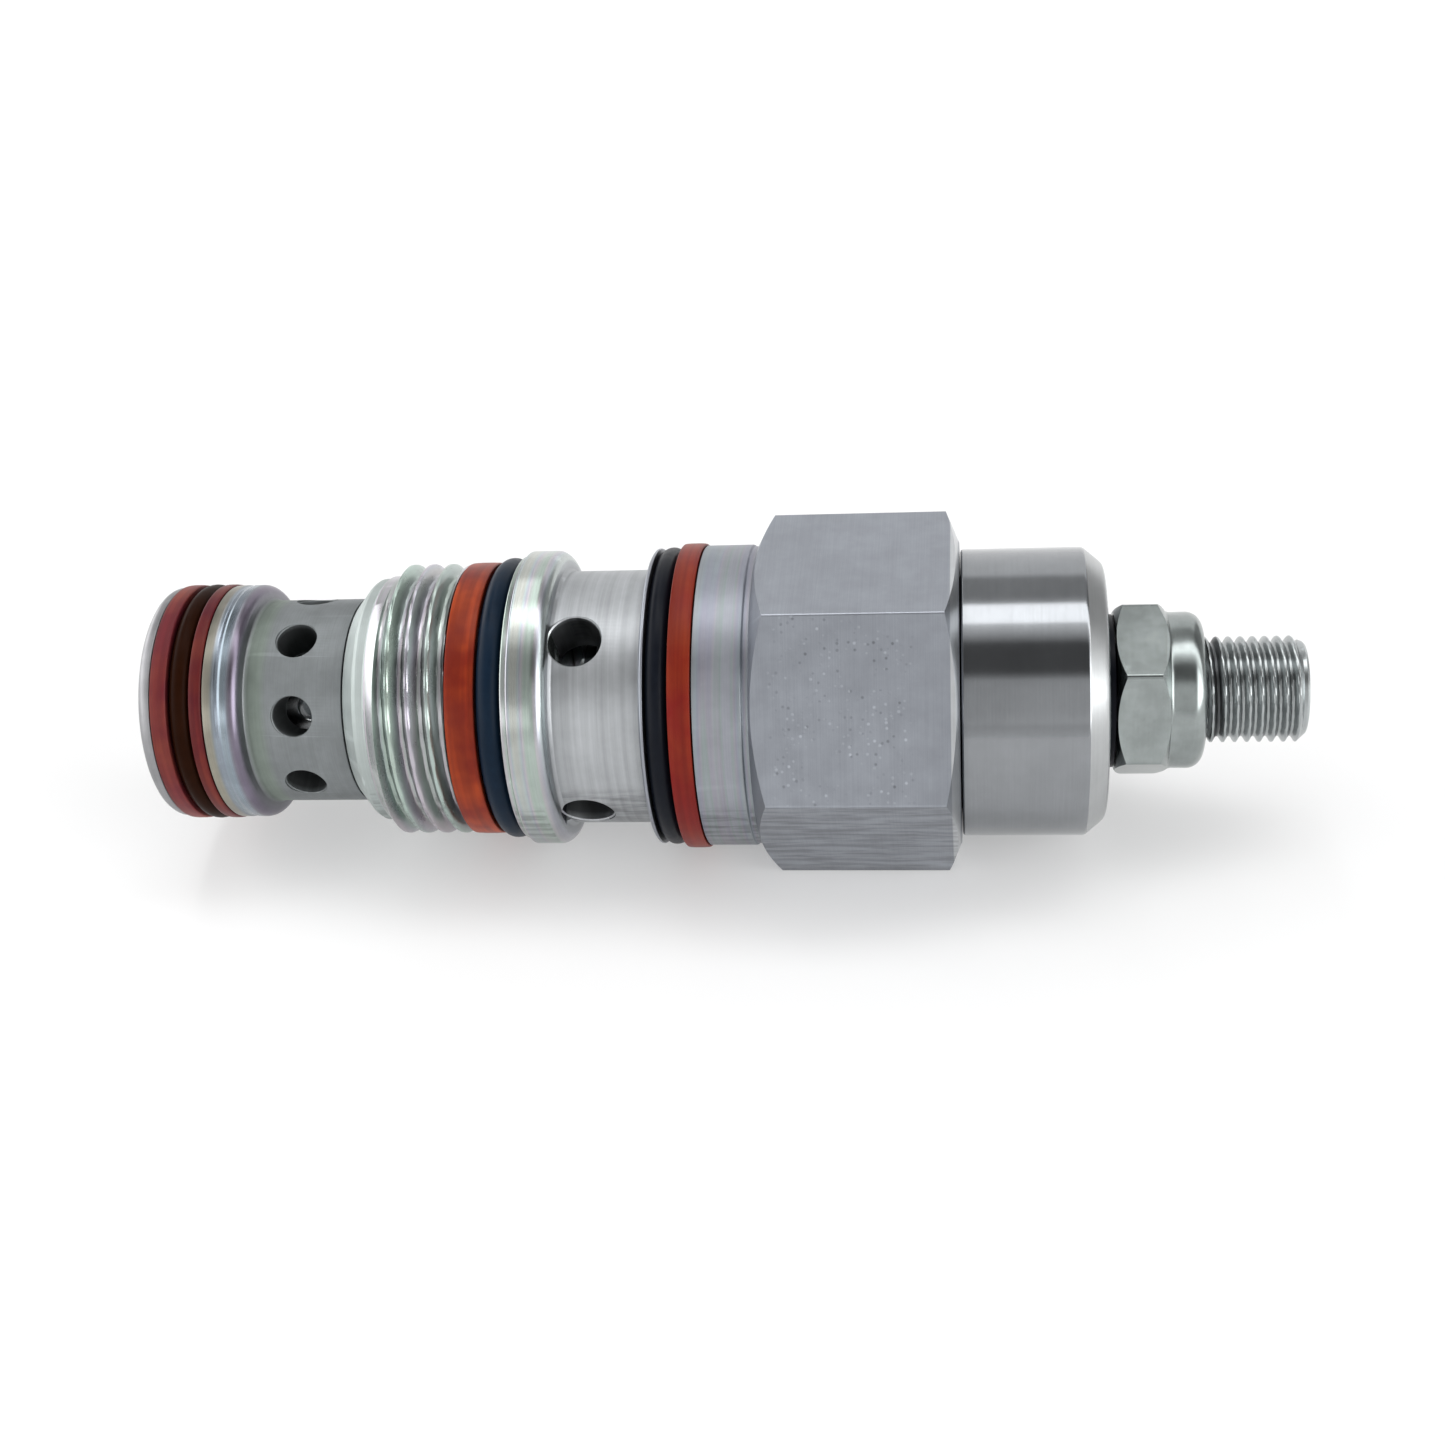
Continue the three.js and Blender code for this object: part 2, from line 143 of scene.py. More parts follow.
def turned(name, outline, facets=FACETS, warp=None):
    """An outline of (x, r) points turned about the X axis. It closes on itself or ends on the axis."""
    points, rings = [], []
    for x, r in outline:
        if r < 1e-6:
            rings.append([len(points)] * facets)
            points.append((x, 0, 0))
            continue
        rings.append(list(range(len(points), len(points) + facets)))
        for step in range(facets):
            turn = 2 * math.pi * step / facets
            points.append((x, *around(warp(x, r, turn) if warp else r, turn)))
    on_axis = outline[0][1] < 1e-6 and outline[-1][1] < 1e-6
    pairs = list(zip(rings, rings[1:])) + ([] if on_axis else [(rings[-1], rings[0])])
    faces = []
    for near, far in pairs:
        for step in range(facets):
            after = (step + 1) % facets
            corners = [near[step], far[step], far[after], near[after]]
            face = [c for i, c in enumerate(corners) if c not in corners[:i]]
            if len(face) > 2:
                faces.append(face)
    obj = add_mesh(name, points, faces)
    face_out(obj)
    return obj


def face_out(obj):
    """Turns a closed surface inside out if its faces point inwards."""
    volume = 0.0
    for polygon in obj.data.polygons:
        corners = [obj.data.vertices[i].co for i in polygon.vertices]
        for b, c in zip(corners[1:], corners[2:]):
            volume += corners[0].dot(b.cross(c))
    if volume < 0:
        obj.data.flip_normals()


def eased(outline, size, closed=True):
    """The outline with its sharp corners rounded off, `size` along each side at most."""
    result = []
    count = len(outline)
    for i, corner in enumerate(outline):
        if not closed and i in (0, count - 1):
            result.append(corner)
            continue
        here = Vector(corner)
        back = Vector(outline[i - 1]) - here
        ahead = Vector(outline[(i + 1) % count]) - here
        if back.length < 1e-6 or ahead.length < 1e-6 or back.angle(ahead) > math.radians(155):
            result.append(corner)
            continue
        reach = min(size, 0.45 * back.length, 0.45 * ahead.length)
        first = here + back.normalized() * reach
        last = here + ahead.normalized() * reach
        for t in (0, 0.3, 0.7, 1):
            result.append(tuple(first.lerp(here, t).lerp(here.lerp(last, t), t)))
    return result


def arc(x, r, radius, start, end, steps):
    """Points along a round stretch of an outline, angles in degrees from +X towards +R."""
    angles = [math.radians(start + (end - start) * i / steps) for i in range(steps + 1)]
    return [(x + radius * math.cos(a), r + radius * math.sin(a)) for a in angles]


def rows(start, end, r, step):
    """A straight stretch of an outline with many points, for a thread to be cut into."""
    count = max(2, round((end - start) / step))
    return [(start + (end - start) * i / count, r) for i in range(count + 1)]


def thread_cut(start, end, major, depth, pitch):
    """A warp for turned() that cuts a right-hand thread of 60-degree form.

    `crest` and `root` are the shares of half a pitch where the flank begins and ends.
    """
    crest, root = 0.14, 0.80

    def warp(x, r, turn):
        if not start <= x <= end or r > major + 0.01:
            return r
        phase = (x / pitch + turn / (2 * math.pi)) % 1
        fall = (abs(2 * phase - 1) - crest) / (root - crest)
        fall = min(1.0, max(0.0, fall))
        eased_fall = fall * fall * (3 - 2 * fall)
        return min(r, major - depth * (0.75 * fall + 0.25 * eased_fall))

    return warp


def settle(obj):
    """Applies an object's modifiers to its mesh."""
    graph = bpy.context.evaluated_depsgraph_get()
    mesh = bpy.data.meshes.new_from_object(obj.evaluated_get(graph))
    old = obj.data
    obj.modifiers.clear()
    obj.data = mesh
    bpy.data.meshes.remove(old)


def carve(obj, *tools):
    """Cuts each tool out of obj and removes the tool."""
    for tool in tools:
        cut = obj.modifiers.new("cut", "BOOLEAN")
        cut.object = tool
        cut.operation = "DIFFERENCE"
        cut.solver = "EXACT"
        settle(obj)
        mesh = tool.data
        bpy.data.objects.remove(tool)
        bpy.data.meshes.remove(mesh)


def hexagon(flats, turn, corner, steps):
    """A hexagon's (y, z) points with rounded corners, and the angle that each one faces."""
    centre = (flats / 2 - corner) / math.cos(math.radians(30))
    loop, angles = [], []
    for k in range(6):
        middle = turn + 60 * k
        cy, cz = around(centre, math.radians(middle))
        for step in range(steps + 1):
            angle = math.radians(middle - 30 + 60 * step / steps)
            y, z = around(corner, angle)
            loop.append((cy + y, cz + z))
            angles.append(angle)
    return loop, angles


def hex_shell(flats, start, end, turn, corner=0.3):
    """A tube with a six-sided hole. Taken from a blank, it leaves a hexagon."""
    inner, angles = hexagon(flats, turn, corner, 6)
    outer = [around(flats * 1.5, angle) for angle in angles]
    count = len(inner)
    points = [(x, *p) for x in (start, end) for loop in (inner, outer) for p in loop]
    faces = []
    for i in range(count):
        j = (i + 1) % count
        faces.append((i, j, count + j, count + i))
        faces.append((2 * count + i, 3 * count + i, 3 * count + j, 2 * count + j))
        faces.append((i, 2 * count + i, 2 * count + j, j))
        faces.append((count + i, count + j, 3 * count + j, 3 * count + i))
    obj = add_mesh("hex_shell", points, faces)
    face_out(obj)
    return obj


def hex_bar(flats, start, end, turn):
    """A solid six-sided bar with slightly rounded edges."""
    corner = 0.12
    loop, _ = hexagon(flats, turn, corner, 3)
    count = len(loop)
    points = [(x, *p) for x in (start, end) for p in loop]
    faces = [tuple(range(count)), tuple(range(count, 2 * count))[::-1]]
    faces += [(i, (i + 1) % count, count + (i + 1) % count, count + i)[::-1] for i in range(count)]
    obj = add_mesh("hex_bar", points, faces)
    face_out(obj)
    return obj


def drills(holes, surface, depth, chamfer):
    """Round holes that run in from a surface of that radius, with their mouths chamfered."""
    r, top = holes["r"], surface + 0.6
    dip = surface - math.sqrt(surface**2 - r**2)
    outline = [
        (surface - depth, 0), (surface - depth, r), (surface - dip - chamfer, r),
        (surface - dip, r + chamfer), (top, r + chamfer), (top, 0),
    ]
    tools = []
    for k in range(holes["count"]):
        tool = turned("drill", outline, 64)
        lean = math.radians(holes["first"] + 360 / holes["count"] * k)
        out = Vector((0, *around(1, lean)))
        side = Vector((1, 0, 0))
        turn = Matrix((out, side, out.cross(side))).transposed().to_4x4()
        tool.data.transform(Matrix.Translation((holes["x"] * MM, 0, 0)) @ turn)
        tools.append(tool)
    return tools


def helix(name, start, end, radius, wire, turns, part=(0, 1)):
    """A share of a compression spring, `radius` to the middle of its wire.

    The closed turns at each end, `dead` of the whole, hardly rise.
    """
    per_turn, sides = 40, 16
    steps = round(turns * per_turn)
    dead = 0.8 / turns
    centres = []
    for i in range(steps + 1):
        t = i / steps
        rise = min(1.0, max(0.0, (t - dead) / (1 - 2 * dead)))
        rise = rise * 0.92 + t * 0.08
        x = start + wire / 2 + (end - start - wire) * rise
        centres.append(Vector((x, *around(radius, 2 * math.pi * turns * t))))
    centres = centres[round(part[0] * steps):round(part[1] * steps) + 1]
    steps = len(centres) - 1
    points, faces = [], []
    for i, centre in enumerate(centres):
        along = (centres[min(i + 1, steps)] - centres[max(i - 1, 0)]).normalized()
        out = Vector((0, centre.y, centre.z)).normalized()
        side = along.cross(out).normalized()
        for s in range(sides):
            a = 2 * math.pi * s / sides
            points.append(centre + (out * math.cos(a) + side * math.sin(a)) * wire / 2)
    for i in range(steps):
        for s in range(sides):
            n = (s + 1) % sides
            a, b = i * sides, (i + 1) * sides
            faces.append((a + s, a + n, b + n, b + s))
    faces.append(tuple(range(sides))[::-1])
    faces.append(tuple(range(steps * sides, (steps + 1) * sides)))
    obj = add_mesh(name, points, faces)
    face_out(obj)
    return obj


SLOTS = {part["node"]: part["material_slot"] for part in frame["record"]["subparts"]}
BODY_OF = {
    node: body for body, nodes in frame["record"]["behaviour"]["bodies"].items() for node in nodes
}


def finished(obj, node, body, material, angle=32, suffix=""):
    """Shades a piece, gives it its finish, and lets it stand for its CAD node.

    A piece given no body is attached to none.
    """
    obj.name = node + "_fine" + suffix
    obj.data.name = obj.name
    obj.data.shade_smooth()
    obj.data.set_sharp_from_angle(angle=math.radians(angle))
    obj.data.materials.clear()
    obj.data.materials.append(material)
    weighted = obj.modifiers.new("normals", "WEIGHTED_NORMAL")
    weighted.keep_sharp = True
    if body:
        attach(obj, body)
    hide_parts(node)


# ---------------------------------------------------------------- finishes

class Nodes:
    """A small helper to write node trees as expressions."""

    def __init__(self, tree):
        self.tree = tree
        tree.nodes.clear()

    def add(self, kind, inputs=None, **settings):
        node = self.tree.nodes.new("ShaderNode" + kind)
        for key, value in settings.items():
            setattr(node, key, value)
        for key, value in (inputs or {}).items():
            socket = node.inputs[key]
            if isinstance(value, bpy.types.NodeSocket):
                self.tree.links.new(value, socket)
            else:
                socket.default_value = value
        return node

    def math(self, operation, a, b):
        return self.add("Math", {0: a, 1: b}, operation=operation).outputs[0]

    def mix(self, factor, a, b, blend="MIX"):
        node = self.add("Mix", {0: factor}, data_type="RGBA", blend_type=blend)
        for index, value in ((6, a), (7, b)):
            if isinstance(value, bpy.types.NodeSocket):
                self.tree.links.new(value, node.inputs[index])
            else:
                node.inputs[index].default_value = (*value[:3], 1)
        return node.outputs[2]

    def ramp(self, factor, stops):
        node = self.add("ValToRGB", {0: factor})
        elements = node.color_ramp.elements
        while len(elements) < len(stops):
            elements.new(0.5)
        for element, (place, value) in zip(elements, stops):
            element.position = place
            colour = value if isinstance(value, tuple) else (value, value, value)
            element.color = (*colour, 1)
        return node.outputs[0]

    def lerp(self, factor, a, b):
        return self.add("Mix", {0: factor, 2: a, 3: b}, data_type="FLOAT").outputs[0]

    def vary(self, value, mask, share):
        """The value with `share` of itself added, or taken away, where the mask is 1."""
        return self.math("MULTIPLY", value, self.math("ADD", self.math("MULTIPLY", mask, share), 1.0))

    def band(self, value, low, high, soft):
        """1 between low and high, 0 outside, with soft edges."""
        rise = {0: value, 1: low - soft, 2: low + soft}
        fall = {0: value, 1: high + soft, 2: high - soft}
        edges = [self.add("MapRange", ends, interpolation_type="SMOOTHSTEP") for ends in (rise, fall)]
        return self.math("MULTIPLY", edges[0].outputs[0], edges[1].outputs[0])

    def bump(self, height, strength, depth):
        """Fine relief, `depth` millimetres deep."""
        relief = {"Height": height, "Strength": strength, "Distance": depth * MM}
        return self.add("Bump", relief).outputs[0]

    def noise(self, vector, scale, detail, rough=0.5):
        inputs = {"Vector": vector, "Scale": scale, "Detail": detail, "Roughness": rough}
        return self.add("TexNoise", inputs).outputs[0]


def coordinates(n):
    """Place in millimetres, x, distance from the axis, and place on a drum of radius 1."""
    place = n.add("TexCoord").outputs["Object"]
    scaled = n.add("VectorMath", {0: place, 3: 1 / MM}, operation="SCALE").outputs[0]
    parts = n.add("SeparateXYZ", {0: scaled})
    flat = n.add("CombineXYZ", {1: parts.outputs[1], 2: parts.outputs[2]}).outputs[0]
    radius = n.add("VectorMath", {0: flat}, operation="LENGTH").outputs["Value"]
    drum = n.add("VectorMath", {0: flat}, operation="NORMALIZE").outputs[0]
    return scaled, parts.outputs[0], radius, drum


def round_marks(n, x, drum, along, about):
    """Coordinates for marks left by turning: fine along x, long round the axis."""
    spread = n.add("VectorMath", {0: drum, 3: about}, operation="SCALE").outputs[0]
    shift = n.add("CombineXYZ", {0: n.math("MULTIPLY", x, along)}).outputs[0]
    return n.add("VectorMath", {0: spread, 1: shift}, operation="ADD").outputs[0]


def new_material(name):
    material = bpy.data.materials.new(name)
    material.use_nodes = True
    return material, Nodes(material.node_tree)


def surface(n, shader):
    output = n.add("OutputMaterial")
    n.tree.links.new(shader.outputs[0], output.inputs[0])


FILM = [
    (0.30, (1.00, 0.97, 0.88)), (0.40, (0.84, 0.96, 1.00)), (0.47, (0.84, 0.78, 0.96)),
    (0.54, (1.00, 0.88, 0.96)), (0.61, (0.76, 0.94, 0.80)), (0.70, (0.96, 0.94, 1.00)),
]


def zone(first, last, colour, rough, rings=0.0, film=0.0, soft=0.05):
    """A stretch of a piece along the axis that is machined or plated differently; some zones also carry a
    painted highlight or painted shade.
    """
    return {"first": first, "last": last, "colour": colour, "rough": rough, "rings": rings,
            "film": film, "soft": soft}


def zoned(n, x, drum, colour, rough, zones):
    """Colour, roughness and brightness of a piece with zones along its axis."""
    bands = n.noise(round_marks(n, x, drum, 1.7, 0.25), 1.0, 2.0, 0.6)
    hues = n.ramp(n.noise(round_marks(n, x, drum, 0.75, 0.2), 1.0, 1.0, 0.5), FILM)
    plain = n.add("RGB")
    plain.outputs[0].default_value = (*colour, 1)
    tone, finish, value = plain.outputs[0], rough, 1.0
    for part in zones:
        here = n.band(x, part["first"], part["last"], part["soft"])
        tone = n.mix(here, tone, part["colour"])
        finish = n.lerp(here, finish, part["rough"])
        if part["film"]:
            tone = n.mix(n.math("MULTIPLY", here, part["film"]), tone, n.mix(1.0, tone, hues, "MULTIPLY"))
        if part["rings"]:
            swing = n.math("MULTIPLY", here, n.math("SUBTRACT", bands, 0.5))
            value = n.vary(value, swing, 4 * part["rings"])
    return tone, finish, value


def crevice_shade_and_wear(n, value, crevice_shade):
    """Brightness with painted shade darkening the crevices, and rubbed edges."""
    shade = n.add("AmbientOcclusion", {"Distance": 1.6 * MM}, samples=6).outputs["AO"]
    # Painted shade: ambient occlusion darkens the crevices.
    value = n.vary(value, n.ramp(shade, [(0.25, 1.0), (0.85, 0.0)]), -0.86 * crevice_shade)
    worn = n.ramp(n.add("NewGeometry").outputs["Pointiness"], [(0.52, 0.0), (0.60, 1.0)])
    return n.vary(value, worn, 0.2)


def metal(name, colour, rough, grain, streak=0.0, crevice_shade=0.6, mottle=0.1, zones=(), bore=None,
          pitted=None):
    """Machined and plated steel: turning marks, mottling, plating colours, and painted shade darkening
    crevices and bores.
    """
    material, n = new_material(name)
    place, x, radius, drum = coordinates(n)
    marks = n.noise(round_marks(n, x, drum, 9.0, 1.6), 1.0, 3.0, 0.65)
    fine = n.noise(round_marks(n, x, drum, 26.0, 5.0), 1.0, 2.0, 0.6)
    cloud = n.noise(place, 0.32, 4.0, 0.6)
    speck = n.noise(place, 3.4, 3.0, 0.7)

    tone, finish, value = zoned(n, x, drum, colour, rough, zones)
    patchy = n.math("MULTIPLY", n.ramp(cloud, [(0.35, 0.0), (0.65, 1.0)]), 2.6 * mottle)
    value = n.math("MULTIPLY", value, n.math("ADD", patchy, 1 - 1.6 * mottle))
    value = n.vary(value, n.ramp(marks, [(0.4, 0.0), (0.62, 1.0)]), -0.12 * grain)
    value = crevice_shade_and_wear(n, value, crevice_shade)
    height = n.math("ADD", n.math("MULTIPLY", marks, 0.6 * grain), n.math("MULTIPLY", fine, 0.4 * grain))
    height = n.math("ADD", height, n.math("MULTIPLY", speck, 0.25))
    if bore:
        first, last, mouth = bore
        # Painted shade: inside the bore the colour darkens with depth below its mouth.
        deep = n.add("MapRange", {0: radius, 1: mouth, 2: mouth - 0.5}).outputs[0]
        value = n.vary(value, n.math("MULTIPLY", deep, n.band(x, first, last, 0.05)), -0.60)
    if pitted:
        spots, random = pits(n, place, x, pitted)
        value = n.vary(value, n.math("MULTIPLY", spots, n.math("SUBTRACT", random, 0.48)), 0.9)
        height = n.math("SUBTRACT", height, n.math("MULTIPLY", spots, 1.6))
        # Rubbing streaks, deepened as painted shade on the downward wrench flat.
        value = n.vary(value, scuffs_and_underside_shade(n, place), -0.34)

    uneven = n.math("ADD", n.math("MULTIPLY", cloud, 0.22), n.math("MULTIPLY", fine, 0.10))
    shader = n.add("BsdfPrincipled", {
        "Base Color": n.add("VectorMath", {0: tone, 3: value}, operation="SCALE").outputs[0],
        "Metallic": 1.0,
        "Roughness": n.math("MULTIPLY", finish, n.math("ADD", uneven, 0.84)),
        "Normal": n.bump(height, 0.35, 0.012),
        "Anisotropic": streak, "Anisotropic Rotation": 0.25,
        "Tangent": n.add("Tangent", direction_type="RADIAL", axis="X").outputs[0],
    })
    surface(n, shader)
    return material


def on_flat(n, rise):
    """1 on the wrench flat that faces `rise` degrees above the front."""
    normal = n.add("TexCoord").outputs["Normal"]
    facing = (0.0, -math.cos(math.radians(rise)), math.sin(math.radians(rise)))
    square = n.add("VectorMath", {0: normal, 1: facing}, operation="DOT_PRODUCT").outputs["Value"]
    return n.ramp(square, [(0.93, 0.0), (0.97, 1.0)])


def pits(n, place, x, stretch):
    """Scattered shallow pits on one wrench flat: where they are, and a random value for each."""
    cells = n.add("TexVoronoi", {"Vector": place, "Scale": 1.9, "Randomness": 1.0})
    spots = n.ramp(cells.outputs["Distance"], [(0.14, 1.0), (0.34, 0.0)])
    patch = n.ramp(n.noise(place, 0.36, 2.0), [(0.44, 0.0), (0.52, 1.0)])
    spots = n.math("MULTIPLY", n.math("MULTIPLY", spots, patch), on_flat(n, 30))
    random = n.add("SeparateXYZ", {0: cells.outputs["Color"]}).outputs[0]
    return n.math("MULTIPLY", spots, n.band(x, *stretch, 0.6)), random


def scuffs_and_underside_shade(n, place):
    """Rubbing marks along the axis on the wrench flat below the pitted one, 0 to 1; their darkening is
    also painted shade on that downward flat.
    """
    drawn = n.add("VectorMath", {0: place, 1: (0.12, 1.0, 1.0)}, operation="MULTIPLY").outputs[0]
    lines = n.ramp(n.noise(drawn, 1.5, 3.0, 0.6), [(0.42, 0.0), (0.60, 1.0)])
    return n.math("MULTIPLY", lines, on_flat(n, -30))


def rubber(name, colour, rough, shine):
    """Moulded nitrile rubber with a film of oil."""
    material, n = new_material(name)
    place, x, _, drum = coordinates(n)
    cloud = n.noise(place, 0.8, 3.0, 0.6)
    skin = n.noise(round_marks(n, x, drum, 14.0, 12.0), 1.0, 3.0, 0.7)
    base = n.mix(cloud, colour, tuple(c * 1.8 for c in colour))
    roughness = n.math("ADD", n.math("MULTIPLY", cloud, 0.25), rough - 0.1)
    shader = n.add("BsdfPrincipled", {
        "Base Color": base, "Roughness": roughness, "Normal": n.bump(skin, 0.3, 0.02),
        "Specular IOR Level": shine,
    })
    surface(n, shader)
    return material


def polymer(name, colour, warm, rough):
    """Turned backup-ring plastic: mottled, with fine turning lines, a soft translucency and painted shade
    in its crevices.
    """
    material, n = new_material(name)
    place, x, _, drum = coordinates(n)
    cloud = n.noise(place, 0.16, 3.0, 0.6)
    lines = n.noise(round_marks(n, x, drum, 12.0, 2.5), 1.0, 2.0, 0.6)
    broad = n.noise(round_marks(n, x, drum, 1.6, 0.8), 1.0, 1.0, 0.5)
    base = n.mix(n.ramp(cloud, [(0.38, 0.0), (0.62, 1.0)]), colour, warm)
    base = n.mix(n.math("MULTIPLY", lines, 0.35), base, tuple(c * 0.55 for c in colour))
    base = n.mix(n.ramp(broad, [(0.42, 0.45), (0.62, 0.0)]), base, tuple(c * 0.5 for c in colour))
    # Painted shade: the colour darkens where ambient occlusion finds nearby surfaces.
    shade = n.add("AmbientOcclusion", {"Distance": 1.2 * MM}, samples=6).outputs["AO"]
    base = n.mix(n.math("MULTIPLY", n.ramp(shade, [(0.3, 1.0), (0.9, 0.0)]), 0.7), base,
                 tuple(c * 0.2 for c in colour))
    shader = n.add("BsdfPrincipled", {
        "Base Color": base, "Roughness": rough, "Normal": n.bump(lines, 0.4, 0.02),
        "Specular IOR Level": 0.17, "Subsurface Weight": 0.06, "Subsurface Scale": 0.4 * MM,
    })
    surface(n, shader)
    return material


ZINC = (0.295, 0.312, 0.345)
THREAD_GREEN, THREAD_ROSE = (0.44, 0.52, 0.47), (0.51, 0.50, 0.52)
BODY_ZONES = [
    zone(BODY_END - 1, THREAD["start"] - 0.1, (0.45, 0.495, 0.485), 0.55),
    zone(THREAD["start"] - 0.1, THREAD["end"] + 0.3, THREAD_ROSE, 0.28, film=0.5),
    zone(THREAD["start"] + 1.3, THREAD["start"] + 2.9, THREAD_GREEN, 0.28, film=0.3, soft=0.3),
    zone(THREAD["end"] - 2.0, THREAD["end"] - 0.6, THREAD_GREEN, 0.28, film=0.3, soft=0.3),
    zone(SHOULDER - 0.1, FLANGE_END, (0.46, 0.485, 0.48), 0.26, rings=0.06, film=0.6),
    zone(FLANGE_END, FLANGE_END + 8.3, (0.425, 0.44, 0.455), 0.46, rings=0.14),
    zone(HEX_START - 4.9, HEX_START - 0.1, (0.32, 0.335, 0.36), 0.46, rings=0.05, film=0.5),
    # Painted highlight: the hex's chamfer at the cap end is made lighter to stand for its highlight.
    zone(HEX_END - 0.75, HEX_END - 0.1, (0.52, 0.535, 0.55), 0.30),
]
SLEEVE_ZONES = [
    zone(NOSE - 1, NOSE + 1.3, (0.30, 0.30, 0.31), 0.42),
    zone(NOSE_LAND - 0.1, NOSE_LAND + 0.9, (0.30, 0.285, 0.24), 0.34, film=0.2, soft=0.2),
    # Plating tint with a painted highlight: this bluish band is lighter to stand for a highlight.
    zone(NOSE_LAND + 0.9, NOSE_LAND + 2.4, (0.28, 0.325, 0.365), 0.26, film=0.2, soft=0.3),
    # Plating tint with painted shade: this purple band is darker to stand for shade.
    zone(NOSE_LAND + 2.4, NOSE_LAND + 3.6, (0.20, 0.18, 0.225), 0.30, film=0.2, soft=0.3),
    zone(NOSE_LAND + 3.6, NECK_START - 0.3, (0.27, 0.245, 0.26), 0.40, film=0.2, soft=0.3),
    zone(NECK_START - 0.3, NECK_START + 1.4, (0.245, 0.285, 0.255), 0.60, soft=0.5),
]
# Painted highlight: the cap's end chamfer is made lighter to stand for its highlight.
CAP_HIGHLIGHT_ZONES = [zone(CAP_END - 1.75, CAP_END - 0.15, (0.44, 0.452, 0.457), 0.30)]
SCREW_ZONES = [zone(SCREW_END - 8.1, SCREW_END - 7.6, (0.11, 0.115, 0.12), 0.40, soft=0.12)]
LOOKS = {
    "zinc": metal("zinc_plate", ZINC, 0.36, grain=0.5, streak=0.3, crevice_shade=0.5, mottle=0.05,
                  zones=BODY_ZONES, bore=(FLANGE_END, HEX_START, WAIST_R - 0.35),
                  pitted=(HEX_START + 2, HEX_END - 4)),
    "neck": metal("grey_steel", (0.245, 0.262, 0.268), 0.62, grain=0.6, streak=0.1, mottle=0.08,
                  zones=SLEEVE_ZONES, bore=(NECK_START, BODY_END, NECK_R - 0.2)),
    "cap": metal("turned_steel", (0.277, 0.289, 0.303), 0.15, grain=0.35, streak=0.5, mottle=0.03,
                 zones=CAP_HIGHLIGHT_ZONES),
    "nut": metal("bright_zinc", (0.305, 0.335, 0.33), 0.22, grain=0.35, mottle=0.10),
    "screw": metal("dark_zinc", (0.40, 0.424, 0.428), 0.26, grain=0.5, crevice_shade=0.45,
                   zones=SCREW_ZONES),
    "ground": metal("ground_steel", (0.58, 0.60, 0.61), 0.24, grain=0.3, streak=0.4),
    "wire": metal("spring_wire", (0.86, 0.88, 0.89), 0.45, grain=0.3, crevice_shade=0.1),
    "brass": metal("orifice_brass", (0.62, 0.44, 0.18), 0.28, grain=0.4),
    "rubber": rubber("seal_rubber", (0.003, 0.004, 0.007), 0.34, 0.10),
    "brown": rubber("oily_rubber", (0.011, 0.003, 0.001), 0.34, 0.03),
    # Painted sheen: a navy tint on the dark rubber stands in for its blue sheen.
    "navy": rubber("navy_sheen_rubber", (0.003, 0.009, 0.019), 0.34, 0.09),
    "maroon": polymer("maroon_backup", (0.100, 0.006, 0.013), (0.185, 0.030, 0.015), 0.42),
    "dusty": polymer("dusty_backup", (0.148, 0.018, 0.024), (0.24, 0.050, 0.030), 0.46),
    "red": polymer("red_backup", (0.19, 0.008, 0.005), (0.23, 0.028, 0.007), 0.40),
    "orange": polymer("orange_backup", (0.20, 0.016, 0.005), (0.42, 0.060, 0.010), 0.38),
}


# ---------------------------------------------------------------- body

def groove(first, last=None):
    """Start and end of the groove that holds the rings from node `first` to node `last`."""
    return span(first)[0] - RING_GAP, span(last or first)[1] + RING_GAP


def slot_rows(node, surface, bottom):
    """The outline of a square groove for one ring, cut from radius `surface` to `bottom`."""
    start, end = groove(node)
    return [(start, surface), (start, bottom), (end, bottom), (end, surface)]


def body_bore():
    """The outline of the body's stepped bore, from the cap's seat down to the sleeve's socket."""
    cap_seal, cap_spigot = HEX_END - 3.3, HEX_END - 7.9
    button_end = cap_spigot - 3.4
    cap_seal_r, cap_spigot_r, chamber_r, seat_r, ring_r = 10.6, 9.95, 6.4, 7.3, 9.55
    ring_start, ring_end = groove("sleeve_retaining_ring")
    seat_start, seat_end = groove("pilot_seat")
    return [
        (HEX_END, cap_seal_r), (cap_seal, cap_seal_r), (cap_seal, cap_spigot_r),
        (cap_spigot, cap_spigot_r), (cap_spigot, SPIGOT_BORE), (button_end, SPIGOT_BORE),
        (button_end, chamber_r), (seat_end, chamber_r), (seat_end, seat_r), (seat_start, seat_r),
        (seat_start, SOCKET_R), (ring_end, SOCKET_R), (ring_end, ring_r), (ring_start, ring_r),
        (ring_start, SOCKET_R),
    ]


